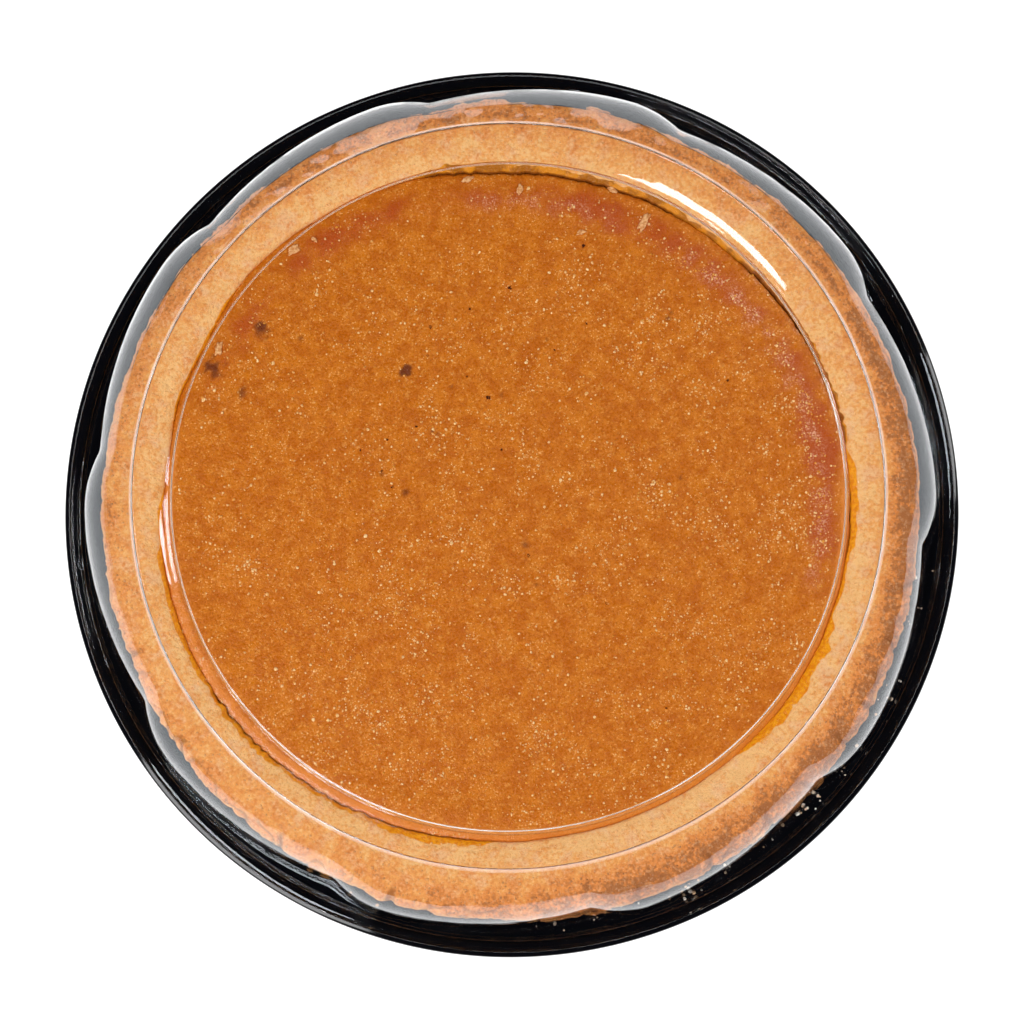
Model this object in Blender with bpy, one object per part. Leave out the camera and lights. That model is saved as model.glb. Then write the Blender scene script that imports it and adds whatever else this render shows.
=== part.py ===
"""Whole pumpkin pie in its retail pack: a black plastic tray under a clear ten-lobed dome lid.

Four closed solids, in metres, +Z up, with the origin under the centre of the tray's foot:
base_tray, pie_crust, pumpkin_filling and dome_lid. Angles go clockwise from +Y, seen from above.
"""
import bpy
import math

MM = 0.001
GAP = 0.35                    # clearance between touching pieces

# Driving dimensions, in millimetres.
PACK_DIAMETER = 336.8         # over the tray's outer bead
RIM_HEIGHT = 27.0             # widest point of the tray's bead above the table
LID_RISE = 40.7               # lid's top above the tray's bead
PIE_DIAMETER = 308.0          # over the crust's edge, which is ragged
FILLING_DIAMETER = 256.2

# Tray, thermoformed sheet.
TRAY_SHEET = 0.8
FLOOR_HEIGHT = 4.8            # top of the floor that the pie stands on
FLOOR_RADIUS = 122.5
FOOT_INNER, FOOT_OUTER = 125.0, 129.5
TRAY_WALL_FOOT = 132.0
FOOT_ROUND = 2.0              # the foot ring's outer corner rises this much into the wall
TRAY_WALL_TOP = 151.4
CHANNEL_DEPTH = 2.1           # flange channel below the widest point of the bead
TRAY_RISER = 162.6
RISER_LEAN, RISER_ROUND = 0.9, 0.5
BEAD_CROWN = 0.7              # bead's crown above its widest point
CROWN_SETBACK = 3.0           # crown of the bead outside the riser
LIP_DROP = 4.5

# Lid, thermoformed sheet: a flat plateau, a stacking groove, a crest, a cone and ten lobes.
LID_SHEET = 0.45
PLATEAU_RADIUS = 121.8
GROOVE_INNER, GROOVE_OUTER = 126.3, 129.6
GROOVE_DEPTH = 9.2
GROOVE_ROUND = 4.0            # the groove curves up this far out and this high
CREST_RADIUS = 137.2
CONE_SLOPE = 42.0             # degrees below level, from the crest to where the lid bends down
BEND_NOTCH, BEND_DEPTH = 148.5, 4.4        # radius of the bend at a notch; more at a lobe's peak
BEND_DROP = 8.0               # the bend turns into the wall this much lower
LOBES = 10
LOBE_PEAK = 0.78              # share of the lobe's pitch over which it swells
LOBE_START = 24.8             # angle of one notch, in degrees
SHOULDER_NOTCH, SHOULDER_DEPTH = 152.9, 4.8
WALL_NOTCH, WALL_DEPTH = 156.6, 4.0
WALL_FLARE = 0.6              # round at the wall's foot
FLANGE_OUTER = 161.2
FLANGE_RISE, FLANGE_REACH = 1.2, 5.4   # the riser's lean and the lip over the bead
SNAPS = 24
SNAP_START = 7.3              # angle of one gap between the snap ridges
SNAP_RISE = 0.6
FLANGE_GAP = 0.55             # the flange clears the channel by more, where crumbs collect

# Pie.
PIE_FOOT = 120.0
CAVITY_FOOT = 115.0
CRUST_FLOOR = 4.5
BANK_WIDTH, BANK_RISE = 3.2, 2.2       # the crust climbs steeply at first from the filling
CREST_HEIGHT = 10.2           # crust's crest above the tray's bead
CREST_SETBACK = 13.0          # crest inside the crust's edge
SHOULDER_SETBACK = 5.0
SHOULDER_SINK = 1.4
EDGE_HEIGHT = 4.0
EDGE_UNDERCUT = 3.0
CRUST_EDGE = 4.2              # thickness of the crust's overhanging edge
FILLING_HEIGHT = 6.2          # filling's edge above the tray's bead
FILLING_SHIFT = (-2.5, 0.0)   # the filling sits a little off the crust's centre
SWELL_WIDTH, SWELL_RISE = 8.0, 1.0     # the filling stands up in a ring near its edge
FLAT_WIDTH, FLAT_RISE = 24.0, 0.7
PRESSES = 42                  # finger marks round the crust
SLOW_WAVE, QUICK_WAVE, PRESS_WAVE = 0.45, 0.35, 0.20   # in millimetres, of the ragged edge

LID_SEGMENTS = 120            # a whole number for each lobe and each snap ridge
LID_STEP = 360.0 / LID_SEGMENTS
PIE_SEGMENTS = 72


def clear_scene():
    for item in list(bpy.data.objects):
        bpy.data.objects.remove(item, do_unlink=True)


def material(name, colour, roughness, alpha=1.0):
    """One Principled material; alpha below 1 is a clear sheet."""
    mat = bpy.data.materials.new(name)
    mat.use_nodes = True
    shader = mat.node_tree.nodes["Principled BSDF"]
    shader.inputs["Base Color"].default_value = (*colour, 1.0)
    shader.inputs["Roughness"].default_value = roughness
    shader.inputs["Metallic"].default_value = 0.0
    shader.inputs["Alpha"].default_value = alpha
    return mat


def place(radius, height, angle):
    """A point in metres from a radius and height in millimetres and an angle in degrees."""
    turn = math.radians(angle)
    return (radius * math.sin(turn) * MM, radius * math.cos(turn) * MM, height * MM)


def turned(name, profile, segments, start, mat):
    """A closed solid turned about +Z, from a profile that may change with the angle.

    profile(angle) gives (radius, height) points in millimetres, from the ring round the top
    face, outwards and down to the ring round the bottom face. Both faces are flat.
    """
    angles = [start + 360.0 * i / segments for i in range(segments)]
    sections = [profile(angle) for angle in angles]
    rows = len(sections[0])
    verts = [place(*sections[i][row], angles[i]) for row in range(rows) for i in range(segments)]
    faces = [list(reversed(range(segments)))]
    for row in range(rows - 1):
        for i in range(segments):
            here, beyond = row * segments, (row + 1) * segments
            after = (i + 1) % segments
            faces.append([here + i, here + after, beyond + after, beyond + i])
    faces.append([(rows - 1) * segments + i for i in range(segments)])
    mesh = bpy.data.meshes.new(name)
    mesh.from_pydata(verts, [], faces)
    mesh.materials.append(mat)
    mesh.shade_smooth()
    mesh.set_sharp_from_angle(angle=math.radians(35.0))
    piece = bpy.data.objects.new(name, mesh)
    bpy.context.scene.collection.objects.link(piece)


def side(start, end):
    """Unit vector square to a stretch of the section, pointing to the sheet's under side."""
    across, up = end[0] - start[0], end[1] - start[1]
    length = math.hypot(across, up)
    return up / length, -across / length


def sheet(points, thickness):
    """The section of a sheet whose outer face runs through the points: there and back under."""
    before = [(0.0, points[0][1])] + points[:-1]
    sides = [side(a, b) for a, b in zip(before, points)]
    under = []
    for i, (radius, height) in enumerate(points):
        first, second = sides[i], sides[min(i + 1, len(sides) - 1)]
        reach = thickness / (1.0 + first[0] * second[0] + first[1] * second[1])
        under.append((radius + reach * (first[0] + second[0]), height + reach * (first[1] + second[1])))
    return points + list(reversed(under))


def base_tray():
    """Black tray: raised floor, foot ring, sloping wall, flange channel and rolled bead."""
    channel = RIM_HEIGHT - CHANNEL_DEPTH
    crown = RIM_HEIGHT + BEAD_CROWN
    edge = PACK_DIAMETER / 2
    outer = [
        (FLOOR_RADIUS, FLOOR_HEIGHT),
        (FOOT_INNER, TRAY_SHEET),
        (FOOT_OUTER, TRAY_SHEET),
        (TRAY_WALL_FOOT, TRAY_SHEET + FOOT_ROUND),
        (TRAY_WALL_TOP, channel),
        (TRAY_RISER, channel),
        (TRAY_RISER + RISER_LEAN, crown - RISER_ROUND),
        (TRAY_RISER + CROWN_SETBACK, crown),
        (edge, RIM_HEIGHT),
        (edge, RIM_HEIGHT - LIP_DROP),
    ]
    black = material("black_plastic", (0.006, 0.006, 0.008), 0.12)
    turned("base_tray", lambda angle: sheet(outer, TRAY_SHEET), PIE_SEGMENTS, 0.0, black)


def lobe(angle):
    """How far a lobe stands out at an angle, from 0 at a notch to 1 at its rounded peak."""
    pitch = 360.0 / LOBES
    share = ((angle - LOBE_START) % pitch) / pitch
    if share < LOBE_PEAK:
        return 1.0 - (1.0 - share / LOBE_PEAK) ** 1.4
    return 1.0 - ((share - LOBE_PEAK) / (1.0 - LOBE_PEAK)) ** 2


def snap(angle):
    """1 on a snap ridge of the flange, 0 at the gap between two of them."""
    pitch = 360.0 / SNAPS
    away = abs((angle - SNAP_START + pitch / 2) % pitch - pitch / 2)
    return min(1.0, away / LID_STEP)


def dome_lid():
    """Clear lid: plateau, stacking groove, crest, cone, lobed wall and flange with clip ridges."""
    top = RIM_HEIGHT + LID_RISE
    groove = top - GROOVE_DEPTH
    channel = RIM_HEIGHT - CHANNEL_DEPTH + FLANGE_GAP + LID_SHEET
    crown = RIM_HEIGHT + BEAD_CROWN + GAP + LID_SHEET

    def profile(angle):
        swell = lobe(angle)
        ridge = crown - SNAP_RISE * (1.0 - snap(angle))
        bend = BEND_NOTCH + BEND_DEPTH * swell
        fall = (bend - CREST_RADIUS) * math.tan(math.radians(CONE_SLOPE))
        return sheet([
            (PLATEAU_RADIUS, top),
            (GROOVE_INNER, groove),
            (GROOVE_OUTER, groove),
            (GROOVE_OUTER + GROOVE_ROUND, groove + GROOVE_ROUND),
            (CREST_RADIUS, top),
            (bend, top - fall),
            (SHOULDER_NOTCH + SHOULDER_DEPTH * swell, top - fall - BEND_DROP),
            (WALL_NOTCH + WALL_DEPTH * swell, channel + WALL_FLARE),
            (FLANGE_OUTER, channel),
            (FLANGE_OUTER + FLANGE_RISE, ridge),
            (FLANGE_OUTER + FLANGE_REACH, crown),
        ], LID_SHEET)

    clear = material("clear_plastic", (0.93, 0.95, 0.97), 0.04, alpha=0.2)
    turned("dome_lid", profile, LID_SEGMENTS, SNAP_START, clear)


def ragged(angle):
    """Uneven crust edge, in millimetres, as two slow waves and the finger marks."""
    turn = math.radians(angle)
    waves = SLOW_WAVE * math.sin(3 * turn + 0.8) + QUICK_WAVE * math.sin(7 * turn + 2.1)
    return waves + PRESS_WAVE * math.sin(PRESSES * turn)


def filling_edge(angle):
    """Radius of the filling at an angle about the crust's centre."""
    turn = math.radians(angle)
    across, along = FILLING_SHIFT
    return FILLING_DIAMETER / 2 + across * math.sin(turn) + along * math.cos(turn)


def pie_crust():
    """Shortcrust shell: floor, sloping wall and a thick rim with a ragged, finger-pressed edge."""
    foot = FLOOR_HEIGHT + GAP
    crest = RIM_HEIGHT + CREST_HEIGHT
    edge = RIM_HEIGHT + EDGE_HEIGHT
    level = RIM_HEIGHT + FILLING_HEIGHT
    radius = PIE_DIAMETER / 2

    def profile(angle):
        rough = ragged(angle)
        brim = filling_edge(angle) + GAP
        return [
            (CAVITY_FOOT, foot + CRUST_FLOOR),
            (brim, level),
            (brim + BANK_WIDTH, level + BANK_RISE),
            (radius - CREST_SETBACK, crest + 0.5 * rough),
            (radius - SHOULDER_SETBACK + 0.5 * rough, crest - SHOULDER_SINK + 0.5 * rough),
            (radius + 0.5 * rough, edge + 0.5 * rough),
            (radius - EDGE_UNDERCUT, edge - CRUST_EDGE),
            (PIE_FOOT, foot),
        ]

    pastry = material("pastry", (0.73, 0.36, 0.13), 0.75)
    turned("pie_crust", profile, PIE_SEGMENTS, 0.0, pastry)


def pumpkin_filling():
    """Set custard inside the crust, a little raised near its edge and sunk at the crust."""
    floor = FLOOR_HEIGHT + 2 * GAP + CRUST_FLOOR
    level = RIM_HEIGHT + FILLING_HEIGHT

    def profile(angle):
        brim = filling_edge(angle)
        return [
            (FILLING_DIAMETER / 2 - FLAT_WIDTH, level + FLAT_RISE),
            (brim - SWELL_WIDTH, level + SWELL_RISE),
            (brim, level - GAP),
            (CAVITY_FOOT - GAP, floor),
        ]

    custard = material("pumpkin_custard", (0.56, 0.15, 0.017), 0.32)
    turned("pumpkin_filling", profile, PIE_SEGMENTS, 0.0, custard)


clear_scene()
base_tray()
pie_crust()
pumpkin_filling()
dome_lid()
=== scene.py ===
"""Looks of a whole pumpkin pie in its retail pack: black tray, crust, custard and clear dome lid."""
import bpy
import math
import numpy as np
from mathutils import Matrix, Vector, noise


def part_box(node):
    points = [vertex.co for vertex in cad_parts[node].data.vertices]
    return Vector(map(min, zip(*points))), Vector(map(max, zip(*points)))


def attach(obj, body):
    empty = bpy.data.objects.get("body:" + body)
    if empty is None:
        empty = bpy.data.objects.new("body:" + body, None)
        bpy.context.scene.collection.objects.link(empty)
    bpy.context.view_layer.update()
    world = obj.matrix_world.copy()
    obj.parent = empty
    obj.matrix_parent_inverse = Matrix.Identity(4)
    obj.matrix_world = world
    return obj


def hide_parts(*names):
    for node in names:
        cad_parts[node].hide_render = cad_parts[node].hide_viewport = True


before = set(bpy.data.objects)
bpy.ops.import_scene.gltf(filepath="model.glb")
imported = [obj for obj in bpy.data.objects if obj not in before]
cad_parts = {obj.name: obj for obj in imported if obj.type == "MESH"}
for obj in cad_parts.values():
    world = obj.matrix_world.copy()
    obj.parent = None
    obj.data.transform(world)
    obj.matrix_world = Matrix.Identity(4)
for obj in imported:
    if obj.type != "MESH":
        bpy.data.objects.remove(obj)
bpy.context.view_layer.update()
MM = 0.001

# ---- Stage ---------------------------------------------------------------------------------
# The pack stands alone on a wide white table under two tall soft boxes. Even light from above
# fills in the shadows. The studio itself is dark, so clear and black plastic mirror only the
# table and the boxes.
BEAD_CROWN = 0.7  # crown of the tray's bead above its widest point, in millimetres
BEAD_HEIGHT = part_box("base_tray")[1].z - BEAD_CROWN * MM
CAMERA_DISTANCE = 1.1
CAMERA_TILT, CAMERA_TURN = math.radians(8.07), math.radians(11.15)
CAMERA_RIGHT, CAMERA_DOWN = 0.74 * MM, 2.57 * MM
FOCAL_LENGTH = 102.7
TABLE_RADIUS = 4.0
FILL_LIGHT, DARK_LIGHT = 2.0, 0.004
SOFT_BOXES = (  # name, azimuth, width and radiance of each box
    ("right_box", 69.3, 0.28, 9.5), ("left_box", 225.5, 0.58, 9.5),
)
BOX_HEIGHT, BOX_ELEVATION, BOX_DISTANCE = 0.58, 42.0, 1.25


def put(tree, kind, inputs=None, **settings):
    """A node in a tree. An input is linked if its value is a socket, and set otherwise."""
    node = tree.nodes.new(kind)
    for name, value in settings.items():
        setattr(node, name, value)
    for name, value in (inputs or {}).items():
        if isinstance(value, bpy.types.NodeSocket):
            tree.links.new(value, node.inputs[name])
        else:
            node.inputs[name].default_value = value
    return node


def new_piece(name, verts, faces, mat):
    """A smooth mesh object from points in metres, with its one material."""
    mesh = bpy.data.meshes.new(name)
    mesh.from_pydata([tuple(v) for v in verts], [], faces)
    mesh.materials.append(mat)
    mesh.shade_smooth()
    piece = bpy.data.objects.new(name, mesh)
    bpy.context.scene.collection.objects.link(piece)
    return piece


def new_material(name, **values):
    """A Principled material with plain socket values; returns it, its tree and the shader."""
    mat = bpy.data.materials.new(name)
    mat.use_nodes = True
    shader = mat.node_tree.nodes["Principled BSDF"]
    for socket, value in values.items():
        shader.inputs[socket.replace("_", " ")].default_value = value
    return mat, mat.node_tree, shader


back = Vector((
    math.sin(CAMERA_TURN) * math.sin(CAMERA_TILT),
    -math.cos(CAMERA_TURN) * math.sin(CAMERA_TILT),
    math.cos(CAMERA_TILT),
))
right = Vector((0.0, 1.0, 0.0)).cross(back).normalized()
up = back.cross(right)
camera = bpy.data.objects.new("camera", bpy.data.cameras.new("camera"))
camera.data.lens = FOCAL_LENGTH
camera.data.clip_start = 0.05
stand = Vector((0.0, 0.0, BEAD_HEIGHT)) + back * CAMERA_DISTANCE
stand += right * CAMERA_RIGHT - up * CAMERA_DOWN
camera.matrix_world = Matrix.Translation(stand) @ Matrix((right, up, back)).transposed().to_4x4()
bpy.context.scene.collection.objects.link(camera)
bpy.context.scene.camera = camera

for name, azimuth, width, radiance in SOFT_BOXES:
    turn, rise = math.radians(azimuth), math.radians(BOX_ELEVATION)
    away = Vector((math.sin(turn) * math.cos(rise), math.cos(turn) * math.cos(rise), math.sin(rise)))
    light = bpy.data.lights.new(name, "AREA")
    light.shape = "RECTANGLE"
    light.size, light.size_y = width, BOX_HEIGHT
    light.energy = radiance * width * BOX_HEIGHT * math.pi
    box = bpy.data.objects.new(name, light)
    across = Vector((0.0, 0.0, 1.0)).cross(away).normalized()
    turned = Matrix((across, away.cross(across), away)).transposed().to_4x4()
    box.matrix_world = Matrix.Translation(away * BOX_DISTANCE) @ turned
    bpy.context.scene.collection.objects.link(box)

light = bpy.data.lights.new("fill_light", "SUN")
light.angle = math.pi
light.energy = FILL_LIGHT
light.cycles.use_multiple_importance_sampling = False
fill = bpy.data.objects.new("fill_light", light)
fill.visible_glossy = False
fill.visible_transmission = False
bpy.context.scene.collection.objects.link(fill)

world = bpy.data.worlds.new("studio")
world.use_nodes = True
bpy.context.scene.world = world
sky = world.node_tree
seen = put(sky, "ShaderNodeLightPath").outputs["Is Camera Ray"]
light = put(sky, "ShaderNodeMath", {0: seen, 1: DARK_LIGHT}, operation="MAXIMUM").outputs[0]
sky.links.new(light, sky.nodes["Background"].inputs["Strength"])
sky.nodes["Background"].inputs["Color"].default_value = (1.0, 1.0, 1.0, 1.0)

table_white, _, _ = new_material(
    "table_white", Base_Color=(0.5, 0.5, 0.5, 1.0), Roughness=0.7,
    Emission_Color=(1.0, 1.0, 1.0, 1.0), Emission_Strength=0.85,
)
corners = [math.radians(angle) for angle in range(0, 360, 6)]
rim = [(TABLE_RADIUS * math.cos(a), TABLE_RADIUS * math.sin(a), 0.0) for a in corners]
new_piece("table", rim, [range(len(rim))], table_white)

scene = bpy.context.scene
scene.view_settings.view_transform = "Standard"
scene.cycles.max_bounces = 16
scene.cycles.transmission_bounces = 16
scene.cycles.transparent_max_bounces = 16
scene.cycles.glossy_bounces = 8
scene.cycles.caustics_reflective = False
scene.cycles.caustics_refractive = False

# ---- Tray ----------------------------------------------------------------------------------
# Black sheet plastic, drawn down over a mould in one piece: a raised floor on a foot ring, a
# sloping wall, a channel that takes the lid's flange, and a bead rolled over at the edge.
TRAY_SHEET = 0.8
EASING = 0.15  # distance over which shading settles beside a rounded corner
ROUND_SHARE, EASED_SHARE = 0.85, 0.7  # most of an edge a rounding takes; less if it is eased
TRAY_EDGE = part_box("base_tray")[1].x / MM
TRAY_CORNERS = (  # radius, height and rounding of each corner, in millimetres
    (122.5, 4.8, 2.0), (125.0, 0.8, 1.0), (129.5, 0.8, 1.0), (132.0, 2.8, 3.0),
    (151.4, 24.9, 1.5), (162.4, 24.9, 0.5), (163.3, 27.2, 0.9), (165.4, 27.7, 2.0),
    (TRAY_EDGE, 26.9, 1.2), (TRAY_EDGE, 22.5, 0.3),
)


def sheet_section(corners, thickness, floor):
    """Corners of a sheet's section, from the axis out along its upper side and back beneath.

    A corner is (radius, height, rounding) with any further values carried along. The sheet
    ends at the last corner, and its under side is set square from the upper one."""
    line = [(0.0, floor, 0.0, *corners[0][3:])] + list(corners)
    normals = []
    for start, end in zip(line, line[1:]):
        length = math.dist(start[:2], end[:2])
        normals.append(((end[1] - start[1]) / length, (start[0] - end[0]) / length))
    under = [(0.0, floor - thickness, 0.0, *corners[0][3:])]
    for i, corner in enumerate(corners):
        first, second = normals[i], normals[min(i + 1, len(normals) - 1)]
        reach = thickness / (1.0 + first[0] * second[0] + first[1] * second[1])
        across, rise = reach * (first[0] + second[0]), reach * (first[1] + second[1])
        under.append((corner[0] + across, corner[1] + rise, *corner[2:]))
    return line + under[::-1]


def rounded(corners, steps):
    """A section with each corner rounded off, as rows of radius, height and carried values.

    A row is added just before and after an arc that leaves room for it, so that smooth shading
    stays in the arc."""
    rows = []
    for i, corner in enumerate(corners):
        here = np.array(corner[:2] + corner[3:], float)
        if corner[2] == 0.0:
            rows.append(here)
            continue
        before, after = (np.array(corners[k][:2] + corners[k][3:], float) for k in (i - 1, i + 1))
        into, out = here - before, after - here
        lengths = np.hypot(*into[:2]), np.hypot(*out[:2])
        turn = math.acos(np.clip(into[:2] @ out[:2] / (lengths[0] * lengths[1]), -1.0, 1.0))
        reach = min(corner[2] * math.tan(turn / 2), *(ROUND_SHARE * length for length in lengths))
        start, end = here - into * reach / lengths[0], here + out * reach / lengths[1]
        arc = [(1 - u) ** 2 * start + 2 * u * (1 - u) * here + u ** 2 * end
               for u in np.linspace(0.0, 1.0, steps)]
        if reach < EASED_SHARE * lengths[0]:
            arc.insert(0, start - into * EASING / lengths[0])
        if reach < EASED_SHARE * lengths[1]:
            arc.append(end + out * EASING / lengths[1])
        rows += arc
    return rows


def new_tree(name, sockets):
    """A Geometry Nodes tree with its named inputs, and its input and output nodes."""
    tree = bpy.data.node_groups.new(name, "GeometryNodeTree")
    tree.interface.new_socket(name="Geometry", in_out="INPUT", socket_type="NodeSocketGeometry")
    for title, kind in sockets.items():
        tree.interface.new_socket(name=title, in_out="INPUT", socket_type="NodeSocket" + kind)
    tree.interface.new_socket(name="Geometry", in_out="OUTPUT", socket_type="NodeSocketGeometry")
    return tree, put(tree, "NodeGroupInput").outputs, put(tree, "NodeGroupOutput").inputs[0]


def calc(tree, operation, a, b=0.0, c=0.0):
    """The output of one Math node."""
    node = put(tree, "ShaderNodeMath", {0: a, 1: b, 2: c}, operation=operation)
    return node.outputs[0]


def grown(name, source, tree, values):
    """The plain mesh object that a node tree makes of a source object with these inputs."""
    growth = source.modifiers.new(tree.name, "NODES")
    growth.node_group = tree
    for item in tree.interface.items_tree:
        if item.in_out == "INPUT" and item.name in values:
            growth[item.identifier] = values[item.name]
    evaluated = source.evaluated_get(bpy.context.evaluated_depsgraph_get())
    mesh = bpy.data.meshes.new_from_object(evaluated)
    mesh.name = name
    source.modifiers.remove(growth)
    bpy.data.objects.remove(source)
    piece = bpy.data.objects.new(name, mesh)
    bpy.context.scene.collection.objects.link(piece)
    return piece


def turning_tree():
    """Turns a section, drawn as a line of points (radius, 0, height), round the Z axis.

    Lobes push out the points with a swell value: slowly up to the peak, quickly back to the
    notch. They lower the points with a sink value. The ridges run round the points with a
    ridge value, and dip at the gaps."""
    tree, given, result = new_tree("turned_sheet", {
        "Segments": "Int", "Start": "Float", "Lobes": "Int", "Lobe Depth": "Float",
        "Lobe Peak": "Float", "First Notch": "Float", "Ridges": "Int", "First Gap": "Float",
        "Gap Depth": "Float", "Gap Half Width": "Float", "Material": "Material",
    })
    section = given["Geometry"]

    def sums(operation, *values):
        return calc(tree, operation, *values)

    counted = put(tree, "GeometryNodeAttributeDomainSize", {0: section})
    columns = sums("ADD", given["Segments"], 1.0)
    grid = put(tree, "GeometryNodeMeshGrid", {
        "Vertices X": columns, "Vertices Y": counted.outputs["Point Count"],
    })
    index = put(tree, "GeometryNodeInputIndex").outputs[0]
    rows = counted.outputs["Point Count"]
    column = sums("FLOOR", sums("DIVIDE", sums("ADD", index, 0.5), rows))
    row = sums("SUBTRACT", index, sums("MULTIPLY", column, rows))

    def read(field, kind):
        return put(tree, "GeometryNodeSampleIndex", {
            "Geometry": section, "Value": field, "Index": row,
        }, data_type=kind).outputs[0]

    def named(title):
        attribute = put(tree, "GeometryNodeInputNamedAttribute", {"Name": title}, data_type="FLOAT")
        return read(attribute.outputs[0], "FLOAT")

    where = read(put(tree, "GeometryNodeInputPosition").outputs[0], "FLOAT_VECTOR")
    where = put(tree, "ShaderNodeSeparateXYZ", {0: where}).outputs
    turns = sums("DIVIDE", sums("MODULO", column, given["Segments"]), given["Segments"])
    degrees = sums("ADD", sums("MULTIPLY", turns, 360.0), given["Start"])

    pitch = sums("DIVIDE", 360.0, given["Lobes"])
    share = sums("FRACT", sums("DIVIDE", sums("SUBTRACT", degrees, given["First Notch"]), pitch))
    rising = sums("SUBTRACT", 1.0, sums("DIVIDE", share, given["Lobe Peak"]))
    rising = sums("SUBTRACT", 1.0, sums("POWER", sums("MAXIMUM", rising, 0.0), 1.4))
    past = sums("MAXIMUM", sums("SUBTRACT", share, given["Lobe Peak"]), 0.0)
    left = sums("DIVIDE", past, sums("SUBTRACT", 1.0, given["Lobe Peak"]))
    swell = sums("SUBTRACT", rising, sums("MULTIPLY", left, left))
    depth = sums("MULTIPLY", given["Lobe Depth"], named("swell"))
    radius = sums("MULTIPLY_ADD", swell, depth, where["X"])

    pitch = sums("DIVIDE", 360.0, given["Ridges"])
    nearest = sums("WRAP", sums("SUBTRACT", degrees, given["First Gap"]),
                   sums("MULTIPLY", pitch, 0.5), sums("MULTIPLY", pitch, -0.5))
    within = sums("DIVIDE", sums("ABSOLUTE", nearest), given["Gap Half Width"])
    ridge = put(tree, "ShaderNodeMapRange", {
        "Value": within, "From Min": 0.6, "From Max": 1.4, "To Min": 1.0, "To Max": 0.0,
    }, interpolation_type="SMOOTHSTEP").outputs[0]
    dip = sums("MULTIPLY", sums("MULTIPLY", ridge, given["Gap Depth"]), named("ridge"))
    level = sums("SUBTRACT", where["Z"], dip)
    level = sums("SUBTRACT", level, sums("MULTIPLY", swell, named("sink")))

    turn = sums("RADIANS", degrees)
    place = put(tree, "ShaderNodeCombineXYZ", {
        "X": sums("MULTIPLY", radius, sums("SINE", turn)),
        "Y": sums("MULTIPLY", radius, sums("COSINE", turn)),
        "Z": level,
    }).outputs[0]
    moved = put(tree, "GeometryNodeSetPosition", {
        "Geometry": grid.outputs["Mesh"], "Position": place}).outputs[0]
    welded = put(tree, "GeometryNodeMergeByDistance", {"Geometry": moved, "Distance": 1e-6}).outputs[0]
    smooth = put(tree, "GeometryNodeSetShadeSmooth", {"Geometry": welded}).outputs[0]
    real = put(tree, "GeometryNodeRealizeInstances", {0: smooth}).outputs[0]
    done = put(tree, "GeometryNodeSetMaterial", {"Geometry": real, "Material": given["Material"]})
    tree.links.new(done.outputs[0], result)
    return tree


turned_sheet = turning_tree()


def turned_piece(name, rows, values):
    """A closed piece turned from section rows of radius, height, swell, sink and ridge."""
    section = bpy.data.meshes.new(name)
    section.from_pydata([(row[0] * MM, 0.0, row[1] * MM) for row in rows], [], [])
    for column, title, unit in ((2, "swell", 1.0), (3, "sink", MM), (4, "ridge", 1.0)):
        values_here = [row[column] * unit if len(row) > column else 0.0 for row in rows]
        section.attributes.new(title, "FLOAT", "POINT").data.foreach_set("value", values_here)
    source = bpy.data.objects.new(name, section)
    bpy.context.scene.collection.objects.link(source)
    return grown(name, source, turned_sheet, values)


black_plastic, tree, shader = new_material(
    "black_plastic", Base_Color=(0.002, 0.002, 0.003, 1.0), Roughness=0.06, IOR=1.4)
floor_height = TRAY_CORNERS[0][1]
tray = turned_piece(
    "tray", rounded(sheet_section(TRAY_CORNERS, TRAY_SHEET, floor_height), 5),
    {"Segments": 360, "Lobes": 1, "Lobe Peak": 0.5, "Ridges": 1, "Gap Half Width": 1.0,
     "Material": black_plastic})
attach(tray, "root")
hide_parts("base_tray")

# ---- Lid -----------------------------------------------------------------------------------
# Clear sheet plastic, drawn over a mould: a plateau sunk inside a stacking groove and a crest
# ring, and a cone that bends down into ten lobes, which lean one way. Its flange clips over
# the tray's riser with short ridges.
LID_SHEET = 0.45
LID_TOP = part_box("dome_lid")[1].z / MM
LOBES, LOBE_DEPTH, LOBE_PEAK, FIRST_NOTCH = 10, 4.8, 0.78, 24.8
BEND_SINK, FOOT_SHARE = 3.9, 0.85  # how the lobes move the bend and the foot
RIDGES, FIRST_GAP, GAP_DEPTH, GAP_HALF_WIDTH = 24, 7.3, 0.5, 1.5
PLATEAU, GROOVE = LID_TOP - 5.8, LID_TOP - 9.6  # heights of the plateau and the groove,
CHANNEL, CROWN = 25.9, 28.5  # and of the flange and its lip
LID_CORNERS = (  # radius, height, rounding, swell, sink and ridge of each corner
    (123.3, PLATEAU, 0.4, 0.0, 0.0, 0.0),
    (124.35, GROOVE, 0.3, 0.0, 0.0, 0.0),
    (127.2, GROOVE + 1.23, 15.0, 0.0, 0.0, 0.0),
    (136.3, LID_TOP, 0.35, 0.0, 0.0, 0.0),
    (137.05, LID_TOP - 0.33, 0.9, 0.0, 0.0, 0.0),
    (138.1, LID_TOP - 2.2, 0.4, 0.0, 0.0, 0.0),
    (152.5, LID_TOP - 13.2, 22.0, 1.0, BEND_SINK, 0.0),
    (156.6, CHANNEL, 1.6, FOOT_SHARE, 0.0, 0.0),
    (161.0, CHANNEL, 0.5, 0.0, 0.0, 0.0),
    (162.2, CROWN, 0.6, 0.0, 0.0, 1.0),
    (164.2, CROWN, 0.8, 0.0, 0.0, 0.0),
    (166.6, CROWN - 0.1, 0.0, 0.0, 0.0, 0.0),
)


def bump(tree, shader, height, distance):
    """Relief of a shader from a height, in millimetres at 1."""
    node = put(tree, "ShaderNodeBump", {"Strength": 1.0, "Distance": distance * MM, "Height": height})
    tree.links.new(node.outputs[0], shader.inputs["Normal"])


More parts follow.
